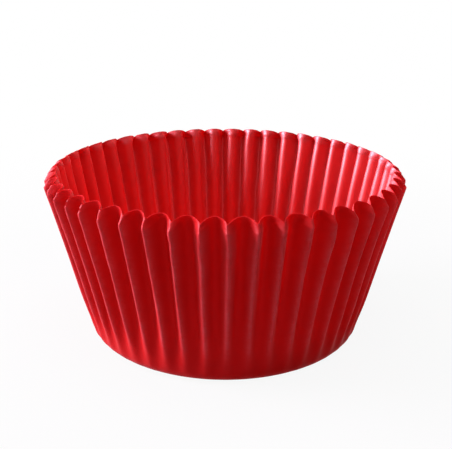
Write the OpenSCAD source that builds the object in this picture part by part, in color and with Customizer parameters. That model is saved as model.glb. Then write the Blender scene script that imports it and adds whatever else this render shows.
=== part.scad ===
// Fluted paper baking cup, made of one disc of thin paper. A press forms the flat base, a tight heel
// round it and a wall of pleats. Each pleat has a sharp ridge on the outside and a soft round valley
// between it and the next. Near the rim the ridges are nipped in, which leaves a short lip with a
// scalloped edge. The base stands on the XY plane, the axis is +Z and one ridge points along -Y.

/* [Base] */
// Diameter of the flat disc that the cup stands on
base_d = 48; // [44:0.5:54]
// Outer radius of the bend between the base and the wall
heel_r = 2.8; // [1.2:0.1:4]

/* [Wall] */
// Height of the cup to the tops of the valleys, where the rim is highest
cup_h = 32.5; // [24:0.1:40]
// Mean diameter of the wall at the crease, midway between ridges and valleys
mouth_d = 65; // [60:0.5:72]
// How far the middle of the wall is drawn in from a straight line, so that it flares to the rim
wall_hollow = 0.2; // [0:0.1:1]

/* [Pleats] */
// Number of pleats round the wall
pleats = 48; // [36:1:50]
// Depth of the pleats, as a share of what paper that doesn't stretch would give
pleat_fullness = 1.08; // [0.6:0.02:1.16]
// Length of paper above the edge of the base over which the pleats fade in
pleat_fade = 3; // [0.5:0.1:6]

/* [Lip] */
// Height of the lip above the crease
lip_h = 1.55; // [0.6:0.05:2.4]
// Distance that the lip leans in at the ridges
lip_lean = 0.95; // [0:0.05:1.2]
// Distance that the rim at the ridges lies below the rim at the valleys
rim_dip = 0.55; // [0:0.05:1.6]

/* [Paper] */
// Thickness of the paper
paper_t = 0.08; // [0.05:0.01:0.15]

/* [Hidden] */
paper_colour = [0.7, 0.04, 0.05];

// Points across one pleat, and rows of points up the heel and up the wall
pleat_points = 6;
heel_rows = 3;
wall_rows = 5;
// Above 1, the wall's rows lie closer together near the heel, where the pleats open fastest
row_crowding = 1.3;

base_r = base_d / 2;
mouth_r = mouth_d / 2;
pleat_count = round(pleats);
ring_points = pleat_count * pleat_points;
crease_row = heel_rows + wall_rows;
rim_row = crease_row + 1;

// Middle of the wall at the crease, and where it lies from the centre of the heel's bend
crease_mid = [mouth_r, cup_h - lip_h - rim_dip / 2];
crease_from_bend = crease_mid - [base_r, heel_r];

// The straight wall leaves the heel at a tangent, so its lean off the vertical follows from both
wall_lean = atan2(crease_from_bend.x, crease_from_bend.y) - asin(heel_r / norm(crease_from_bend));
heel_sweep = 90 - wall_lean;
heel_len = heel_r * heel_sweep * PI / 180;
heel_end = heel_point(heel_sweep);
wall_len = norm(crease_mid - heel_end);

// Radius and height of the heel where it has turned up through an angle
function heel_point(turn) = [base_r + heel_r * sin(turn), heel_r * (1 - cos(turn))];

// Length of paper between the edge of the base and a row
function paper_run(row) =
    row <= heel_rows
        ? heel_len * row / heel_rows
        : heel_len + wall_len * pow((row - heel_rows) / wall_rows, row_crowding);

// Radius and height of the middle of the wall, after a length of paper
function wall_mid(run) =
    run < heel_len
        ? heel_point(heel_sweep * run / heel_len)
        : heel_end + (run - heel_len) * [sin(wall_lean), cos(wall_lean)]
            - [wall_hollow * sin(180 * (run - heel_len) / wall_len), 0];

// Depth of the pleats after a length of paper. The flat disc is wider there than the ring that it
// now fills, and each half pleat takes up its share of that slack by standing off the ring. At the
// edge of the base the press squeezes the slack flat, so the pleats fade in above it.
function pleat_depth(run) =
    pleat_fullness * PI / pleat_count * (1 - exp(-run / pleat_fade))
        * sqrt(pow(base_r + run, 2) - pow(wall_mid(run).x, 2));

// Swing of the paper across a pleat: 1 at each sharp ridge, and -1 in the round valley between
function swing(column) = 1 - 2 * sin(180 * (column % pleat_points) / pleat_points);

// Point on the outer skin, at a row counted up from the base and a column counted round the axis
function outer_point(row, column) =
    let (
        run = paper_run(min(row, crease_row)),
        mid = wall_mid(run),
        side = swing(column),
        dip = rim_dip / 2 * pow(run / (heel_len + wall_len), 2),
        lip = row > crease_row ? [-lip_lean * (1 + side) / 2, lip_h] : [0, 0],
        r = mid.x + side * pleat_depth(run) / 2 + lip.x,
        z = mid.y - side * dip + lip.y,
        angle = 360 * column / ring_points - 90
    )
    [r * cos(angle), r * sin(angle), z];

function unit(v) = v / norm(v);

// Step through the paper at a point, square to the panels on both its sides
function paper_step(row, column) =
    let (
        here = outer_point(row, column),
        up = outer_point(min(row + 1, rim_row), column) - outer_point(row - 1, column),
        right = unit(cross(outer_point(row, column + 1) - here, up)),
        left = unit(cross(here - outer_point(row, column + ring_points - 1), up))
    )
    paper_t * (right + left) / (1 + right * left);

// Point on the inner skin, one thickness of paper inside the outer one. The base stays flat.
function inner_point(row, column) =
    row == 0
        ? outer_point(row, column) + [0, 0, paper_t]
        : outer_point(row, column) - paper_step(row, column);

// Place in the list of points of a row and column of the outer skin, or of the inner one
function outer_id(row, column) = row * ring_points + column % ring_points;
function inner_id(row, column) = (rim_row + 1) * ring_points + outer_id(row, column);

// Two triangles for four corners. Their shared edge mirrors about each ridge.
function panel(a, b, c, d, column) =
    column % pleat_points < pleat_points / 2 ? [[a, b, c], [a, c, d]] : [[a, b, d], [b, c, d]];

module liner() {
    rows = [0:rim_row];
    columns = [0:ring_points - 1];
    outer_centre = 2 * (rim_row + 1) * ring_points;
    inner_centre = outer_centre + 1;

    points = [
        for (row = rows, column = columns) outer_point(row, column),
        for (row = rows, column = columns) inner_point(row, column),
        [0, 0, 0],
        [0, 0, paper_t]
    ];

    outer_skin = [
        for (row = [0:rim_row - 1], column = columns)
            each panel(
                outer_id(row, column), outer_id(row + 1, column),
                outer_id(row + 1, column + 1), outer_id(row, column + 1), column
            )
    ];
    inner_skin = [
        for (row = [0:rim_row - 1], column = columns)
            each panel(
                inner_id(row, column), inner_id(row, column + 1),
                inner_id(row + 1, column + 1), inner_id(row + 1, column), column
            )
    ];
    rim_edge = [
        for (column = columns)
            each panel(
                outer_id(rim_row, column), inner_id(rim_row, column),
                inner_id(rim_row, column + 1), outer_id(rim_row, column + 1), column
            )
    ];
    base_under = [for (column = columns) [outer_centre, outer_id(0, column), outer_id(0, column + 1)]];
    base_inside = [for (column = columns) [inner_centre, inner_id(0, column + 1), inner_id(0, column)]];

    color(paper_colour)
        polyhedron(points, concat(outer_skin, inner_skin, rim_edge, base_under, base_inside));
}

liner();
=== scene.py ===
"""A red cupcake liner, pressed from one disc of greaseproof paper, on a white table in soft light."""

import logging
import math
from collections.abc import Mapping
from dataclasses import dataclass, field
from enum import Enum
from typing import Any

import bpy
from mathutils import Euler, Matrix, Vector


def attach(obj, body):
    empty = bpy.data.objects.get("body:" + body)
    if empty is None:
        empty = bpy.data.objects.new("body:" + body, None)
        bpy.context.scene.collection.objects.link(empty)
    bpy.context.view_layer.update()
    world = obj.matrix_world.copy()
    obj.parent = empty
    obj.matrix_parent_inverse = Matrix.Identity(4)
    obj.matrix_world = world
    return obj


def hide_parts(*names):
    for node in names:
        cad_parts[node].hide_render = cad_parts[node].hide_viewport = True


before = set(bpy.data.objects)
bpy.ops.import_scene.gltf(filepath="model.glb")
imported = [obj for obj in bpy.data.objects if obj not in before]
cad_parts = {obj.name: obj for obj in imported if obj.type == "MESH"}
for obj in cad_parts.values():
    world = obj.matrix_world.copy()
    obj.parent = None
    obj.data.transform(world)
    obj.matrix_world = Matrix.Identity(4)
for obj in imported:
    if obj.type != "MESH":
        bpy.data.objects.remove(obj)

LOG = logging.getLogger("cupcake_liner")
MM = 0.001
WHITE = (1.0, 1.0, 1.0, 1.0)

# A noise texture's middle, and what brings its usual reach to about 1 on each side of it
NOISE_MIDDLE = 0.5
NOISE_STRETCH = 3.4

Colour = tuple[float, float, float, float]


class Field:
    """A node socket that Python's operators combine, through Math nodes."""

    def __init__(self, sketch: "Sketch", socket: bpy.types.NodeSocket) -> None:
        """Wraps a socket of one of the sketch's nodes.

        Args:
            sketch: The sketch of the tree that the socket belongs to.
            socket: An output socket that carries a number.
        """
        self.sketch = sketch
        self.socket = socket

    def math(self, operation: str, *values: "Operand", clamp: bool = False) -> "Field":
        """Puts values through one Math node.

        Args:
            operation: The Math node's operation.
            values: The node's inputs in order, fields or numbers.
            clamp: Whether the result is kept between 0 and 1.

        Returns:
            The node's result.
        """
        settings = {"operation": operation, "use_clamp": clamp}
        return self.sketch.field("ShaderNodeMath", "Value", settings, dict(enumerate(values)))

    def __add__(self, other: "Operand") -> "Field":
        """Sum."""
        return self.math("ADD", self, other)

    def __radd__(self, other: "Operand") -> "Field":
        """Sum with a number on the left."""
        return self.math("ADD", other, self)

    def __sub__(self, other: "Operand") -> "Field":
        """Difference."""
        return self.math("SUBTRACT", self, other)

    def __rsub__(self, other: "Operand") -> "Field":
        """Difference with a number on the left."""
        return self.math("SUBTRACT", other, self)

    def __mul__(self, other: "Operand") -> "Field":
        """Product."""
        return self.math("MULTIPLY", self, other)

    def __rmul__(self, other: "Operand") -> "Field":
        """Product with a number on the left."""
        return self.math("MULTIPLY", other, self)

    def __truediv__(self, other: "Operand") -> "Field":
        """Quotient."""
        return self.math("DIVIDE", self, other)

    def __pow__(self, other: "Operand") -> "Field":
        """Power."""
        return self.math("POWER", self, other)

    def __neg__(self) -> "Field":
        """The value with its sign turned."""
        return self.math("MULTIPLY", self, -1.0)

    def sin(self) -> "Field":
        """Sine of an angle in radians."""
        return self.math("SINE", self)

    def cos(self) -> "Field":
        """Cosine of an angle in radians."""
        return self.math("COSINE", self)

    def sqrt(self) -> "Field":
        """Square root."""
        return self.math("SQRT", self)

    def exp(self) -> "Field":
        """The number e to this power."""
        return self.math("EXPONENT", self)

    def pingpong(self) -> "Field":
        """Zigzag between 0 at the even whole numbers and 1 at the odd ones."""
        return self.math("PINGPONG", self, 1.0)

    def size(self) -> "Field":
        """The value without its sign."""
        return self.math("ABSOLUTE", self)

    def smooth_max(self, floor: "Operand", bend: "Operand") -> "Field":
        """The value or the floor, whichever is more, with the corner rounded over the bend's width."""
        return self.math("SMOOTH_MAX", self, floor, bend)

    def at_least(self, floor: "Operand") -> "Field":
        """The value, or the floor where that is more."""
        return self.math("MAXIMUM", self, floor)

    def clamped(self) -> "Field":
        """The value kept between 0 and 1."""
        return self.math("ADD", self, 0.0, clamp=True)

    def up_from(self, floor: float) -> "Field":
        """The floor where the value is 0, and 1 where it is 1."""
        return floor + (1.0 - floor) * self

    def ramp(self, start: "Operand", end: "Operand", smooth: bool = False) -> "Field":
        """Share of the way from start to end, from 0 to 1.

        Args:
            start: The value that gives 0.
            end: The value that gives 1.
            smooth: Whether it eases in and out.

        Returns:
            The share, kept between 0 and 1.
        """
        settings = {"interpolation_type": "SMOOTHSTEP" if smooth else "LINEAR", "clamp": True}
        sockets = {"Value": self, "From Min": start, "From Max": end}
        return self.sketch.field("ShaderNodeMapRange", "Result", settings, sockets)


Operand = Field | float


class Sketch:
    """Draws the nodes of one tree."""

    def __init__(self, tree: bpy.types.NodeTree) -> None:
        """Starts on a tree.

        Args:
            tree: The node tree that the nodes go into.
        """
        self.tree = tree

    @classmethod
    def of(cls, owner: bpy.types.Material | bpy.types.World) -> "Sketch":
        """Empties the node tree of a material or a world, and starts on it.

        Args:
            owner: The material or world.

        Returns:
            A sketch of its tree, which has no nodes yet.
        """
        owner.use_nodes = True
        owner.node_tree.nodes.clear()
        return cls(owner.node_tree)

    def node(self, kind: str, settings: Mapping[str, Any], sockets: Mapping[Any, Any]) -> bpy.types.Node:
        """Adds a node.

        Args:
            kind: The node's type name.
            settings: The node's own properties, which are set before its sockets.
            sockets: For a socket's identifier, name or number, the value it holds or the field,
                socket or node that feeds it.

        Returns:
            The new node.
        """
        made = self.tree.nodes.new(kind)
        for name, value in settings.items():
            setattr(made, name, value)
        for key, value in sockets.items():
            target = self.find(made.inputs, key)
            if isinstance(value, bpy.types.Node):
                value = next(out for out in value.outputs if out.enabled)
            if isinstance(value, Field):
                value = value.socket
            if isinstance(value, bpy.types.NodeSocket):
                self.tree.links.new(value, target)
            else:
                target.default_value = value
        return made

    def field(
        self, kind: str, output: str, settings: Mapping[str, Any], sockets: Mapping[Any, Any]
    ) -> Field:
        """Adds a node and takes one of its outputs.

        Args:
            kind: The node's type name.
            output: The identifier or name of the output.
            settings: The node's own properties.
            sockets: The values or links of its sockets.

        Returns:
            The output as a field.
        """
        return Field(self, self.find(self.node(kind, settings, sockets).outputs, output))

    @staticmethod
    def find(sockets: bpy.types.bpy_prop_collection, key: str | int) -> bpy.types.NodeSocket:
        """Picks a socket by its identifier, its name or its number."""
        return next((socket for socket in sockets if socket.identifier == key), None) or sockets[key]

    def vector(self, x: Operand, y: Operand, z: Operand) -> bpy.types.Node:
        """Joins three numbers into a vector."""
        return self.node("ShaderNodeCombineXYZ", {}, {0: x, 1: y, 2: z})

    def length(self, vector: Field | bpy.types.NodeSocket) -> Field:
        """Length of a vector."""
        return self.field("ShaderNodeVectorMath", "Value", {"operation": "LENGTH"}, {0: vector})

    def noise(
        self, at: bpy.types.Node | Field, size: float, seed: Operand, detail: float = 2.0, rough: float = 0.5
    ) -> Field:
        """Soft random cloud, centred on 0 and mostly between -1 and 1.

        Args:
            at: Where it is read.
            size: Rough distance from one patch to the next.
            seed: Picks one cloud from many.
            detail: How many finer layers lie on the first.
            rough: How much the finer layers count.

        Returns:
            The cloud's value.
        """
        sockets = {"Vector": at, "W": seed, "Scale": 1.0 / size, "Detail": detail, "Roughness": rough}
        value = self.field("ShaderNodeTexNoise", "Fac", {"noise_dimensions": "4D"}, sockets)
        return (value - NOISE_MIDDLE) * NOISE_STRETCH

    def mix_colour(self, share: Operand, first: Any, second: Any) -> Field:
        """Blends two colours, each a value or a field."""
        sockets = {"Factor_Float": share, "A_Color": first, "B_Color": second}
        return self.field("ShaderNodeMix", "Result_Color", {"data_type": "RGBA"}, sockets)


def put_in_scene(name: str, data: bpy.types.ID) -> bpy.types.Object:
    """Makes an object of a mesh, a light or a camera, and adds it to the scene.

    Args:
        name: The object's name.
        data: The mesh, light or camera.

    Returns:
        The new object, at the origin.
    """
    made = bpy.data.objects.new(name, data)
    bpy.context.scene.collection.objects.link(made)
    return made


class SheetMark(Enum):
    """What the folded mesh remembers of the flat disc, for the paper's finish."""

    FLAT_PLACE = "flat_place"
    RIDGE = "ridge"
    LIP = "lip"
    EDGE = "edge"
    INSIDE = "inside"


@dataclass(frozen=True)
class GreaseproofPaper:
    """Thin paper dyed through in one red, which glows in light from behind and is glazed inside.

    A tone is a share of the way from the shaded dye, a painted shade, to the plain dye. A pressed
    value is the share of the loose one that the flattened base and heel keep, and a lost one is the
    share that the lip lacks. The radii are measured on the flat disc.
    """

    name: str = "red_greaseproof_paper"
    dye: Colour = (0.64, 0.006, 0.007, 1.0)
    # Painted shade: the darker red that the outside's hollows are painted towards
    shaded_dye: Colour = (0.49, 0.001, 0.0015, 1.0)
    # Painted light: the inside is painted a lighter red than the outside, for the light that gathers in the
    # cup
    inner_lit_dye: Colour = (0.86, 0.004, 0.004, 1.0)
    # Painted shade: the darker red that the inside's hollows are painted towards, lighter than outside as
    # painted light
    inner_shaded_dye: Colour = (0.56, 0.001, 0.0015, 1.0)
    # Painted shade and painted light: outside, the valleys are painted darker and the ridges lighter
    valley_painted_shade: float = 0.30
    ridge_painted_light: float = 0.60
    # Painted shade: the lip's outside is painted darker
    lip_painted_shade: float = 0.7
    # Painted shade: how far the outside of the pressed base and heel is painted darker
    pressed_painted_shade: float = 0.2
    # Painted shade: inside, the backs of the ridges are painted darker
    inner_valley_tone: float = 0.88
    inner_groove_painted_shade: float = 0.80
    cloud_tone: float = 0.12
    fibre_tone: float = 0.08
    # Partly wear and partly a painted highlight: the pale pink that the ridges' crests are painted towards
    wear_and_sheen_colour: Colour = (0.61, 0.100, 0.115, 1.0)
    crest_wear_and_sheen: float = 0.45
    wear_and_sheen_patches: float = 0.20
    lip_wear_and_sheen_lost: float = 0.4
    # Painted highlight: how much paler the inside of the lip between the ridges is painted
    lip_painted_highlight: float = 0.45
    crest_power: float = 4.0
    cut_edge: Colour = (0.72, 0.016, 0.018, 1.0)
    cut_edge_share: float = 0.8
    glow: Colour = (0.82, 0.002, 0.003, 1.0)
    see_through: float = 0.35
    pressed_see_through: float = 0.75
    pressed_radius: float = 26.0 * MM
    loose_radius: float = 35.0 * MM
    ior: float = 1.16
    gloss_roughness: float = 0.54
    cloud_roughness: float = 0.035
    fibre_roughness: float = 0.02
    ridge_polish: float = 0.05
    glaze: float = 0.95
    glaze_patches: float = 0.05
    pressed_glaze: float = 0.30
    glaze_ior: float = 1.66
    glaze_roughness: float = 0.52
    burnish: float = 0.04
    lip_burnish_lost: float = 0.6
    fuzz: float = 0.07
    fuzz_roughness: float = 0.45
    fuzz_tint: Colour = (1.0, 0.78, 0.84, 1.0)
    cloud: float = 2.6 * MM
    fibre: float = 0.54 * MM
    fibre_stretch: float = 6.0
    fibre_relief: float = 0.005
    cockle: float = 1.7 * MM
    cockle_relief: float = 0.022
    crinkle: float = 0.8 * MM
    crinkle_relief: float = 0.045
    crinkle_off_lip: float = 0.1
    relief_strength: float = 0.55

    def material(self) -> bpy.types.Material:
        """Builds the paper's material.

        Returns:
            A material that reads the marks of the flat disc.
        """
        made = bpy.data.materials.new(self.name)
        sketch = Sketch.of(made)
        place = self.mark(sketch, SheetMark.FLAT_PLACE, "Vector")
        ridge = self.mark(sketch, SheetMark.RIDGE, "Fac")
        lip = self.mark(sketch, SheetMark.LIP, "Fac")
        edge = self.mark(sketch, SheetMark.EDGE, "Fac")
        inside = self.mark(sketch, SheetMark.INSIDE, "Fac")

        # The base and the heel are pressed hard, so they have less glaze and let less light through, and
        # their outside is painted darker, a painted shade near the table
        loose = sketch.length(place).ramp(self.pressed_radius, self.loose_radius, smooth=True)

        clouds = sketch.noise(place, self.cloud, seed=1.0, detail=4.0, rough=0.6)
        along = self.stretched(sketch, place, 1.0, self.fibre_stretch)
        across = self.stretched(sketch, place, self.fibre_stretch, 1.0)
        fibres = sketch.noise(along, self.fibre, seed=2.0, detail=3.0, rough=0.6) + sketch.noise(
            across, self.fibre, seed=3.0, detail=3.0, rough=0.6
        )
        cockles = sketch.noise(place, self.cockle, seed=4.0, detail=2.0, rough=0.45)
        crinkles = 1.0 - sketch.noise(place, self.crinkle, seed=5.0, detail=1.0).size()

        # Painted shade and painted light: the colour is darker in the folds' hollows, which are the valleys
        # outside and the backs of the ridges inside, and lighter on the ridges outside
        tone = self.cloud_tone * clouds + self.fibre_tone * fibres
        # Painted light on the ridges outside, taken off the lip as painted shade
        ridge_painted_light = self.ridge_painted_light * ridge * (1.0 - self.lip_painted_shade * lip)
        outer_tone_and_shading = (self.valley_painted_shade + ridge_painted_light) * loose.up_from(self.pressed_painted_shade) + tone
        outer = sketch.mix_colour(outer_tone_and_shading.clamped(), self.shaded_dye, self.dye)
        inner_tone_and_shading = self.inner_valley_tone - self.inner_groove_painted_shade * ridge + tone
        # Painted light: the inside is painted lighter than the outside
        inner = sketch.mix_colour(inner_tone_and_shading.clamped(), self.inner_shaded_dye, self.inner_lit_dye)
        dye_and_painted_shading = sketch.mix_colour(inside, outer, inner)

        # The ridges' crests are paler and pinker, partly from wear and partly as a painted highlight, and
        # inside a painted highlight pales the lip between them
        crest = ridge**self.crest_power
        patchy = self.crest_wear_and_sheen + self.wear_and_sheen_patches * fibres + self.wear_and_sheen_patches * clouds
        crest_wear_and_sheen = (crest * (1.0 - self.lip_wear_and_sheen_lost * lip) * patchy).clamped()
        # Painted highlight: inside, the lip between the ridges is painted paler
        wear_and_highlight = (crest_wear_and_sheen + self.lip_painted_highlight * inside * lip * (1.0 - ridge)).clamped()
        wear_and_sheen_colour = sketch.mix_colour(wear_and_highlight, dye_and_painted_shading, self.wear_and_sheen_colour)
        colour = sketch.mix_colour((edge * self.cut_edge_share).clamped(), wear_and_sheen_colour, self.cut_edge)

        mottle = self.cloud_roughness * clouds + self.fibre_roughness * fibres
        rough = (self.gloss_roughness + mottle - self.ridge_polish * ridge).clamped()
        fine_relief = self.fibre_relief * fibres + self.cockle_relief * cockles
        height = fine_relief + self.crinkle_relief * crinkles * lip.up_from(self.crinkle_off_lip)
        bump = sketch.node(
            "ShaderNodeBump", {}, {"Strength": self.relief_strength, "Distance": MM, "Height": height}
        )
        burnished = self.burnish * (1.0 - inside) * crest * (1.0 - self.lip_burnish_lost * lip)
        glazed = inside * loose.up_from(self.pressed_glaze) * (self.glaze + self.glaze_patches * clouds)
        glaze = ((glazed + burnished) * (1.0 - edge)).clamped()
        surface = sketch.node(
            "ShaderNodeBsdfPrincipled",
            {},
            {
                "Base Color": colour,
                "Roughness": rough,
                "IOR": self.ior,
                "Coat Weight": glaze,
                "Coat IOR": self.glaze_ior,
                "Coat Roughness": self.glaze_roughness,
                "Sheen Weight": self.fuzz,
                "Sheen Roughness": self.fuzz_roughness,
                "Sheen Tint": self.fuzz_tint,
                "Normal": bump,
            },
        )
        see_through = self.see_through * loose.up_from(self.pressed_see_through)
        through = sketch.node("ShaderNodeBsdfTranslucent", {}, {"Color": self.glow})
        sheet = sketch.node("ShaderNodeMixShader", {}, {0: see_through, 1: surface, 2: through})
        sketch.node("ShaderNodeOutputMaterial", {}, {"Surface": sheet})
        return made

    @staticmethod
    def mark(sketch: Sketch, mark: SheetMark, output: str) -> Field:
        """Reads one of the flat disc's marks."""
        return sketch.field("ShaderNodeAttribute", output, {"attribute_name": mark.value}, {})

    @staticmethod
    def stretched(sketch: Sketch, place: Field, wide: float, long: float) -> bpy.types.Node:
        """Place on the disc, closed up along one axis so that specks there turn into fibres."""
        scale = (1.0 / wide, 1.0 / long, 1.0)
        return sketch.node("ShaderNodeVectorMath", {"operation": "MULTIPLY"}, {0: place, 1: scale})


@dataclass(frozen=True)
class Unevenness:
    """One way in which real pleats differ, as a cloud of a given strength, patch size and seed."""

    amount: float
    patch: float
    seed: float
    detail: float = 2.0

    def over(self, sketch: Sketch, at: bpy.types.Node, liner_seed: Field) -> Field:
        """Lays the unevenness over the liner.

        Args:
            sketch: The sketch of the folding tree.
            at: Where it is read, on a ring round the liner or on the flat disc.
            liner_seed: The liner's own seed, which this one's is added to.

        Returns:
            A value around 0, mostly no further off than the amount.
        """
        return self.amount * sketch.noise(at, self.patch, liner_seed + self.seed, self.detail)


@dataclass
class PleatedLiner:
    """The liner, with the sizes of its CAD node in metres and the unevenness of real paper."""

    node: str = "liner"
    slot: str = "red_paper"
    base_d: float = 48.0 * MM
    heel_r: float = 2.8 * MM
    cup_h: float = 32.5 * MM
    mouth_d: float = 65.0 * MM
    wall_hollow: float = 0.2 * MM
    pleats: int = 48
    pleat_fullness: float = 1.08
    pleat_fade: float = 3.0 * MM
    lip_h: float = 1.55 * MM
    lip_lean: float = 0.95 * MM
    rim_dip: float = 0.55 * MM
    paper_t: float = 0.08 * MM

    # Pleats that lie flatter at the foot of the wall, with valleys that the press has lifted
    foot_depth: float = 0.35
    foot_start: float = 1.0 * MM
    foot_end: float = 12.0 * MM
    valley_lift: float = 0.14

    # Round ridges and broad valley floors on the wall, as shares of half a pleat and of the climb
    ridge_round: float = 0.03
    flank_share: float = 0.68
    floor_share: float = 0.55
    floor_start: float = 0.02
    floor_end: float = 0.40

    # Ridges pinched narrow at the rim, and how far below and above the crease the pinch grows
    pinch_round: float = 0.1
    pinch_span: float = 0.905
    pinch_below: float = 0.6 * MM
    pinch_above: float = 1.3 * MM

    # The lip's soft bend, its crumpled strip, its flare at the valleys and its cusps at the ridges
    crease_bend: float = 0.9 * MM
    crumple_below: float = 0.5 * MM
    crumple_above: float = 0.4 * MM
    lip_flare: float = 0.45 * MM
    flare_power: float = 1.6
    cusp_dip: float = 0.15
    cusp_power: float = 3.0

    # The heel drawn in a little, over lengths of paper from the edge of the base
    heel_slump: float = 0.12 * MM
    slump_full: float = 4.2 * MM
    slump_fades: float = 3.8 * MM
    slump_end: float = 9.5 * MM

    # Disorder from pleat to pleat, in patches of radians, and how far it drifts from base to rim
    uneven_depth: Unevenness = Unevenness(0.07, 0.16, 0.0)
    uneven_flanks: Unevenness = Unevenness(0.07, 0.12, 1.0)
    uneven_nip: Unevenness = Unevenness(0.18, 0.11, 2.0)
    uneven_spacing: Unevenness = Unevenness(0.075, 0.17, 3.0)
    side_lean: Unevenness = Unevenness(0.10, 0.13, 4.0)
    out_of_round: Unevenness = Unevenness(0.22 * MM, 1.1, 7.0, detail=0.0)
    uneven_rim: Unevenness = Unevenness(0.05 * MM, 0.10, 8.0)
    drift: float = 0.35

    # Disorder of the sheet itself, in patches on the flat disc
    bulge: Unevenness = Unevenness(0.035 * MM, 3.2 * MM, 5.0)
    crumple: Unevenness = Unevenness(0.14 * MM, 0.70 * MM, 6.0)
    wobble: Unevenness = Unevenness(0.022, 2.4 * MM, 9.0)
    seed: float = 7.0

    # The mesh: its rows and columns, and how they crowd towards ridges, rim and edge of the base
    columns_per_pleat: int = 18
    base_rows: int = 4
    heel_rows: int = 6
    wall_rows: int = 32
    lip_rows: int = 10
    ridge_crowding: float = 0.55
    base_crowding: float = 0.7
    wall_crowding: float = 1.6
    merge_distance: float = 0.002 * MM
    sharp_angle: float = 62.0

    # How the marks fade: the ridges' over shares of the climb, the others' over rows
    ridge_mark_start: float = 0.02
    ridge_mark_end: float = 0.3
    lip_mark_rows: float = 2.0
    edge_mark_rows: float = 0.6

    finish: GreaseproofPaper = field(default_factory=GreaseproofPaper)

    @property
    def rows(self) -> int:
        """Rows of faces from the middle of the base to the rim."""
        return self.base_rows + self.heel_rows + self.wall_rows + self.lip_rows

    @property
    def base_r(self) -> float:
        """Radius of the flat base."""
        return self.base_d / 2

    @property
    def bend_to_crease(self) -> tuple[float, float]:
        """Way from the centre of the heel's bend to the middle of the wall at the crease.

        Returns:
            How far out it goes, and how far up.
        """
        out = self.mouth_d / 2 - self.base_r
        up = self.cup_h - self.lip_h - self.rim_dip / 2 - self.heel_r
        return out, up

    @property
    def wall_lean(self) -> float:
        """Lean of the wall off the vertical, which leaves the heel at a tangent."""
        out, up = self.bend_to_crease
        return math.atan2(out, up) - math.asin(self.heel_r / math.hypot(out, up))

    @property
    def heel_sweep(self) -> float:
        """Angle that the heel turns through."""
        return math.pi / 2 - self.wall_lean

    @property
    def wall_length(self) -> float:
        """Length of the straight wall, from the heel to the crease."""
        out, up = self.bend_to_crease
        return math.sqrt(out * out + up * up - self.heel_r**2)

    def build(self) -> bpy.types.Object:
        """Folds the disc, gives it its thickness and puts it in the CAD node's place.

        Returns:
            The liner as a plain mesh that rides on the CAD body.
        """
        holder = put_in_scene("liner_folding", bpy.data.meshes.new("liner_folding"))
        tree = self.folding_tree(self.finish.material())
        modifier = holder.modifiers.new("Folding", "NODES")
        modifier.node_group = tree
        sizes = self.tree_sizes()
        for item in tree.interface.items_tree:
            if item.in_out == "INPUT":
                modifier[item.identifier] = sizes[item.name]
        wall = holder.modifiers.new("Paper", "SOLIDIFY")
        wall.thickness = self.paper_t
        wall.offset = -1.0
        wall.use_rim = True
        wall.use_quality_normals = True

        evaluated = holder.evaluated_get(bpy.context.evaluated_depsgraph_get())
        mesh = bpy.data.meshes.new_from_object(evaluated)
        holder.modifiers.clear()
        bpy.data.objects.remove(holder)
        mesh.name = "pleated_liner"
        mesh.set_sharp_from_angle(angle=math.radians(self.sharp_angle))
        # Solidify keeps the outer skin's points first and puts the inner skin's after them
        outer_points = len(mesh.vertices) // 2
        inner_points = len(mesh.vertices) - outer_points
        inside = mesh.attributes.new(SheetMark.INSIDE.value, "FLOAT", "POINT")
        inside.data.foreach_set("value", [0.0] * outer_points + [1.0] * inner_points)
        liner = put_in_scene("pleated_liner", mesh)
        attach(liner, "root")
        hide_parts(self.node)
        return liner

    def tree_sizes(self) -> dict[str, float | int]:
        """Values of the folding tree's named inputs."""
        return {
            "Columns": self.pleats * self.columns_per_pleat,
            "Pleats": float(self.pleats),
            "Base Radius": self.base_r,
            "Heel Radius": self.heel_r,
            "Heel Sweep": self.heel_sweep,
            "Wall Length": self.wall_length,
            "Wall Lean": self.wall_lean,
            "Wall Hollow": self.wall_hollow,
            "Pleat Fullness": self.pleat_fullness,
            "Pleat Fade": self.pleat_fade,
            "Flank Share": self.flank_share,
            "Valley Lift": self.valley_lift,
            "Lip Height": self.lip_h,
            "Lip Lean": self.lip_lean,
            "Crease Bend": self.crease_bend,
            "Rim Dip": self.rim_dip,
            "Seed": self.seed,
        }

    def folding_tree(self, paper: bpy.types.Material) -> bpy.types.NodeTree:
        """Draws the tree that folds a flat grid into the liner's outer skin.

        Args:
            paper: The material that the skin gets.

        Returns:
            The geometry node tree.
        """
        tree = bpy.data.node_groups.new("Fold a disc into a liner", "GeometryNodeTree")
        tree.interface.new_socket("Geometry", in_out="OUTPUT", socket_type="NodeSocketGeometry")
        sizes = self.tree_sizes()
        for name, value in sizes.items():
            kind = "NodeSocketInt" if isinstance(value, int) else "NodeSocketFloat"
            tree.interface.new_socket(name, in_out="INPUT", socket_type=kind)
        sketch = Sketch(tree)
        inputs = sketch.node("NodeGroupInput", {}, {})
        size = {name: Field(sketch, inputs.outputs[name]) for name in sizes}

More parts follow.
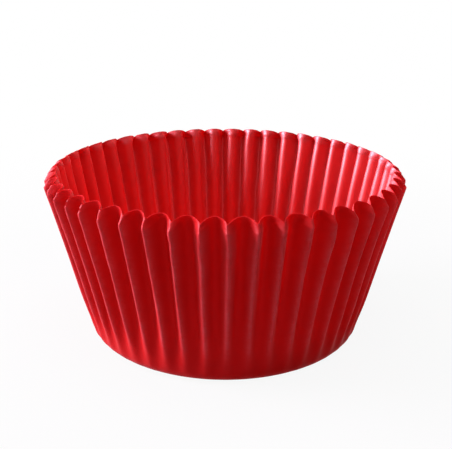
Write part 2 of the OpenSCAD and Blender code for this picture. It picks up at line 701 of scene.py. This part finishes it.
        grid = sketch.node(
            "GeometryNodeMeshGrid",
            {},
            {"Size X": 1.0, "Size Y": 1.0, "Vertices X": size["Columns"] + 1, "Vertices Y": self.rows + 1},
        )
        folded, marks = self.fold(sketch, size)
        sheet = grid.outputs["Mesh"]
        for mark, value in marks.items():
            data_type = "FLOAT_VECTOR" if mark is SheetMark.FLAT_PLACE else "FLOAT"
            sheet = sketch.node(
                "GeometryNodeStoreNamedAttribute",
                {"data_type": data_type, "domain": "POINT"},
                {"Geometry": sheet, "Name": mark.value, "Value": value},
            )
        steps = (
            ("GeometryNodeSetPosition", {"Position": folded}),
            ("GeometryNodeMergeByDistance", {"Distance": self.merge_distance}),
            ("GeometryNodeSetShadeSmooth", {"Shade Smooth": True}),
            ("GeometryNodeRealizeInstances", {}),
            ("GeometryNodeSetMaterial", {"Material": paper}),
            ("NodeGroupOutput", {}),
        )
        for kind, sockets in steps:
            sheet = sketch.node(kind, {}, {"Geometry": sheet, **sockets})
        return tree

    def fold(
        self, sketch: Sketch, size: Mapping[str, Field]
    ) -> tuple[bpy.types.Node, dict[SheetMark, Field | bpy.types.Node]]:
        """Works out where each point of the grid comes to lie on the liner.

        Args:
            sketch: The sketch of the folding tree.
            size: The tree's inputs.

        Returns:
            The point's place on the liner, and its marks.
        """
        # The grid is one unit each way and centred: X goes round the liner, and Y from the middle of
        # its base to the rim
        place = sketch.node("GeometryNodeInputPosition", {}, {})
        split = sketch.node("ShaderNodeSeparateXYZ", {}, {0: place})
        turn_share = Field(sketch, split.outputs["X"]) + 0.5
        row = (Field(sketch, split.outputs["Y"]) + 0.5) * self.rows

        # The columns crowd towards the ridges, where the paper turns fastest
        even = turn_share * size["Pleats"]
        pleat = even - self.ridge_crowding / math.tau * (math.tau * even).sin()
        flat_turn = math.tau * pleat / size["Pleats"]
        ring = sketch.vector(flat_turn.cos(), flat_turn.sin(), row / self.rows * self.drift)

        # Lengths of paper used by the base, the heel, the wall and the lip up to this row
        heel_start = self.base_rows
        wall_start = heel_start + self.heel_rows
        lip_start = wall_start + self.wall_rows
        base_run = row.ramp(0.0, heel_start) ** self.base_crowding * size["Base Radius"]
        heel_turn = row.ramp(heel_start, wall_start) * size["Heel Sweep"]
        wall_share = 1.0 - (1.0 - row.ramp(wall_start, lip_start)) ** self.wall_crowding
        wall_run = wall_share * size["Wall Length"]
        lip_share = row.ramp(lip_start, self.rows)
        wall_paper = size["Heel Radius"] * heel_turn + wall_run
        flat_run = base_run + wall_paper + lip_share * size["Lip Height"]
        flat_place = sketch.vector(flat_run * flat_turn.cos(), flat_run * flat_turn.sin(), 0.0)

        # Share of the way from the edge of the base to the crease, and paper past the crease
        climb = wall_paper / (size["Heel Radius"] * size["Heel Sweep"] + size["Wall Length"])
        past_crease = lip_share * size["Lip Height"] - (1.0 - wall_share) * size["Wall Length"]

        # Middle of the folded wall
        mid_r = (
            base_run
            + size["Heel Radius"] * heel_turn.sin()
            + wall_run * size["Wall Lean"].sin()
            - size["Wall Hollow"] * (math.pi * wall_share).sin()
        )
        mid_z = size["Heel Radius"] * (1.0 - heel_turn.cos()) + wall_run * size["Wall Lean"].cos()

        # Depth of the pleats: paper that doesn't stretch takes up the disc's slack. The press squeezes
        # it flat near the base, and the pleats stay flatter at the foot of the wall.
        slack = ((base_run + wall_paper) ** 2.0 - mid_r**2.0).at_least(0.0).sqrt()
        at_foot = wall_paper.ramp(self.foot_start, self.foot_end, smooth=True).up_from(self.foot_depth)
        opened = at_foot * (1.0 - (-wall_paper / size["Pleat Fade"]).exp())
        depth = size["Pleat Fullness"] * math.pi / size["Pleats"] * slack * opened
        depth = depth * (1.0 + self.uneven_depth.over(sketch, ring, size["Seed"]))

        from_ridge = (pleat * 2.0).pingpong()
        flank = size["Flank Share"] * (1.0 + self.uneven_flanks.over(sketch, ring, size["Seed"]))
        drop = self.drop(from_ridge, flank, climb, past_crease)
        ridge_share = 1.0 - drop
        swing = 1.0 - 2.0 * drop

        # The nip: past a soft bend at the crease the ridges lean in, each by its own amount
        nip = past_crease.smooth_max(0.0, size["Crease Bend"]) / size["Lip Height"]
        uneven_nip = 1.0 + self.uneven_nip.over(sketch, ring, size["Seed"])
        lip_in = size["Lip Lean"] * nip * ridge_share * uneven_nip

        # Small disorder: pleats not quite evenly spaced, ridges that lean to a side and wobble, a rim
        # not quite round, panels that bulge and a crumpled lip
        spacing = self.uneven_spacing.over(sketch, ring, size["Seed"])
        side_lean = climb * ridge_share * self.side_lean.over(sketch, ring, size["Seed"])
        wobble = climb * ridge_share * self.wobble.over(sketch, flat_place, size["Seed"])
        turn = flat_turn + (spacing + side_lean + wobble) * math.tau / size["Pleats"] - math.pi / 2
        bulge = climb * self.bulge.over(sketch, flat_place, size["Seed"])
        near_crease = past_crease.ramp(-self.crumple_below, self.crumple_above, smooth=True)
        crumple = near_crease * self.crumple.over(sketch, flat_place, size["Seed"])
        out_of_round = climb * climb * self.out_of_round.over(sketch, ring, size["Seed"])

        flare = self.lip_flare * drop * lip_share**self.flare_power
        slump_in = wall_paper.ramp(0.0, self.slump_full, smooth=True)
        slump_out = wall_paper.ramp(self.slump_end, self.slump_fades, smooth=True)
        slump = self.heel_slump * slump_in * slump_out
        lifted = size["Valley Lift"] * depth * drop
        cusp = 1.0 - self.cusp_dip * ridge_share**self.cusp_power
        ragged = lip_share * self.uneven_rim.over(sketch, ring, size["Seed"])
        r = mid_r + swing * depth / 2 + lifted - lip_in + flare + bulge + crumple + out_of_round - slump
        rim_dip = swing * size["Rim Dip"] / 2 * climb * climb
        z = mid_z - rim_dip + size["Lip Height"] * lip_share * cusp + ragged

        climbed = climb.ramp(self.ridge_mark_start, self.ridge_mark_end)
        marks = {
            SheetMark.FLAT_PLACE: flat_place,
            SheetMark.RIDGE: ridge_share * climbed,
            SheetMark.LIP: row.ramp(lip_start - self.lip_mark_rows, lip_start + self.lip_mark_rows),
            SheetMark.EDGE: row.ramp(self.rows - self.edge_mark_rows, self.rows),
        }
        return sketch.vector(r * turn.cos(), r * turn.sin(), z), marks

    def drop(self, from_ridge: Field, flank: Field, climb: Field, past_crease: Field) -> Field:
        """Draws a pleat's cross-section, as the share of its depth that the paper has dropped.

        On the wall a round ridge falls steeply to a broad floor. At the rim the ridge is pinched
        narrow and the valley is an arch.

        Args:
            from_ridge: Share of the way from the ridge to the middle of the valley.
            flank: Share of that way at which the flank meets the floor.
            climb: Share of the way up the wall.
            past_crease: Length of paper past the crease.

        Returns:
            0 at the ridge and 1 in the valley.
        """
        wave = 0.5 - 0.5 * (math.pi * from_ridge).cos()
        pressed = self.floor_share * climb.ramp(self.floor_start, self.floor_end, smooth=True)
        channel = wave + (from_ridge.ramp(self.ridge_round, flank, smooth=True) - wave) * pressed
        arch = 1.0 - (1.0 - from_ridge) ** 2.0
        rounded = (arch * arch + self.pinch_round**2).sqrt()
        pinched = (rounded - self.pinch_round) / self.pinch_span
        at_rim = past_crease.ramp(-self.pinch_below, self.pinch_above, smooth=True)
        return channel + (pinched - channel) * at_rim


@dataclass
class WhiteTable:
    """A wide white table top, whose shadow stays soft and pale."""

    half_side: float = 3.0
    below: float = 0.03 * MM
    colour: Colour = (0.45, 0.45, 0.45, 1.0)
    lift: float = 0.92
    near: float = 0.035
    far: float = 0.17

    def build(self) -> bpy.types.Object:
        """Lays the table's top just under the liner's base.

        Returns:
            The table's top, which isn't part of the liner.
        """
        side = self.half_side
        low = -self.below
        rim = [(-side, -side, low), (side, -side, low), (side, side, low), (-side, side, low)]
        mesh = bpy.data.meshes.new("white_table")
        mesh.from_pydata(rim, [], [(0, 1, 2, 3)])
        mesh.materials.append(self.material())
        table = put_in_scene("white_table", mesh)
        return table

    def material(self) -> bpy.types.Material:
        """Builds a matt white that goes over into the white backdrop away from the liner.

        Returns:
            The table's material.
        """
        made = bpy.data.materials.new("white_table")
        sketch = Sketch.of(made)
        place = sketch.node("ShaderNodeTexCoord", {}, {}).outputs["Object"]
        away = sketch.length(place).ramp(self.near, self.far, smooth=True)
        matt = sketch.node("ShaderNodeBsdfDiffuse", {}, {"Color": self.colour})
        glow = sketch.node("ShaderNodeEmission", {}, {"Color": WHITE, "Strength": 1.0})
        lifted = seen_directly(sketch) * away.up_from(self.lift)
        mixed = sketch.node("ShaderNodeMixShader", {}, {0: lifted, 1: matt, 2: glow})
        sketch.node("ShaderNodeOutputMaterial", {}, {"Surface": mixed})
        return made


def seen_directly(sketch: Sketch) -> Field:
    """Tells whether a ray comes from the camera, a mirror or glass.

    Args:
        sketch: The sketch of a stage material or of the world.

    Returns:
        1 for such a ray and 0 for any other.
    """
    path = sketch.node("ShaderNodeLightPath", {}, {})
    rays = ("Is Camera Ray", "Is Glossy Ray", "Is Transmission Ray")
    camera, glossy, through = (Field(sketch, path.outputs[name]) for name in rays)
    return (camera + glossy + through).clamped()


@dataclass(frozen=True)
class Lamp:
    """A flat lamp that faces the liner.

    Its turn is in degrees from the front by way of the right, and its rise in degrees above the
    table. One that is for gloss only shows in the paper's sheen and lights nothing else.
    """

    name: str
    turn: float
    rise: float
    width: float
    height: float
    watts: float
    tint: tuple[float, float, float]
    gloss_only: bool = False

    def hang(self, away: float, aim_height: float) -> bpy.types.Object:
        """Hangs the lamp.

        Args:
            away: Its distance from the point that it faces.
            aim_height: The height of that point, which is on the liner's axis.

        Returns:
            The lamp.
        """
        data = bpy.data.lights.new(self.name, "AREA")
        data.shape = "RECTANGLE"
        data.size = self.width
        data.size_y = self.height
        data.energy = self.watts
        data.color = self.tint
        lamp = put_in_scene(self.name, data)
        turn = math.radians(self.turn)
        rise = math.radians(self.rise)
        way = Vector((math.sin(turn) * math.cos(rise), -math.cos(turn) * math.cos(rise), math.sin(rise)))
        lamp.location = way * away + Vector((0.0, 0.0, aim_height))
        lamp.rotation_euler = (-way).to_track_quat("-Z", "Y").to_euler()
        if self.gloss_only:
            lamp.visible_diffuse = False
            lamp.visible_transmission = False
        return lamp


@dataclass
class WindowRoom:
    """A window on the left with its glint, a pale light above and a white backdrop."""

    ambient: float = 0.02
    away: float = 0.62
    aim_height: float = 0.02
    lamps: tuple[Lamp, ...] = (
        Lamp("window", turn=266.0, rise=20.0, width=0.32, height=0.32, watts=9.8, tint=(0.95, 0.80, 1.0)),
        Lamp("ceiling", turn=0.0, rise=85.0, width=0.50, height=0.50, watts=3.8, tint=(1.0, 1.0, 1.0)),
        Lamp(
            "window_glint",
            turn=262.0,
            rise=18.0,
            width=0.56,
            height=0.30,
            watts=24.0,
            tint=(1.0, 0.78, 1.0),
            gloss_only=True,
        ),
    )

    def build(self) -> list[bpy.types.Object]:
        """Sets the world and hangs the lamps.

        Returns:
            The lamps.
        """
        self.world()
        return [lamp.hang(self.away, self.aim_height) for lamp in self.lamps]

    def world(self) -> None:
        """White behind the liner, and a dim even light from all round it."""
        world = bpy.data.worlds.new("white_backdrop")
        sketch = Sketch.of(world)
        dim = sketch.node("ShaderNodeBackground", {}, {"Color": WHITE, "Strength": self.ambient})
        bright = sketch.node("ShaderNodeBackground", {}, {"Color": WHITE, "Strength": 1.0})
        mixed = sketch.node("ShaderNodeMixShader", {}, {0: seen_directly(sketch), 1: dim, 2: bright})
        sketch.node("ShaderNodeOutputWorld", {}, {"Surface": mixed})
        bpy.context.scene.world = world


@dataclass
class TableCamera:
    """A camera held a hand's breadth in front of the liner, a little above it."""

    distance: float = 142.5 * MM
    height: float = 69.8 * MM
    side_turn: float = -1.0
    look_down: float = 19.2
    look_right: float = 0.09
    roll: float = 0.35
    lens: float = 61.1
    film_width: float = 36.0
    nearest: float = 0.01

    def build(self) -> bpy.types.Object:
        """Places the camera and makes it the scene's own.

        Returns:
            The camera.
        """
        data = bpy.data.cameras.new("table_camera")
        data.lens = self.lens
        data.sensor_width = self.film_width
        data.clip_start = self.nearest
        camera = put_in_scene("table_camera", data)
        turn = math.radians(self.side_turn)
        camera.location = (self.distance * math.sin(turn), -self.distance * math.cos(turn), self.height)
        yaw = turn - math.radians(self.look_right)
        aim = Euler((math.radians(90.0 - self.look_down), 0.0, yaw)).to_matrix()
        camera.rotation_euler = (aim @ Matrix.Rotation(math.radians(self.roll), 3, "Z")).to_euler()
        bpy.context.scene.camera = camera
        return camera


def main() -> None:
    """Builds the liner, the table, the light and the camera, and logs what it made."""
    logging.basicConfig(level=logging.INFO, format="%(name)s: %(message)s")
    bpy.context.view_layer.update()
    liner = PleatedLiner().build()
    LOG.info("folded %s: %d faces", liner.name, len(liner.data.polygons))
    LOG.info("laid %s", WhiteTable().build().name)
    for lamp in WindowRoom().build():
        LOG.info("hung %s", lamp.name)
    LOG.info("placed %s", TableCamera().build().name)
    bpy.context.scene.view_settings.view_transform = "Standard"


if __name__ == "__main__":
    main()
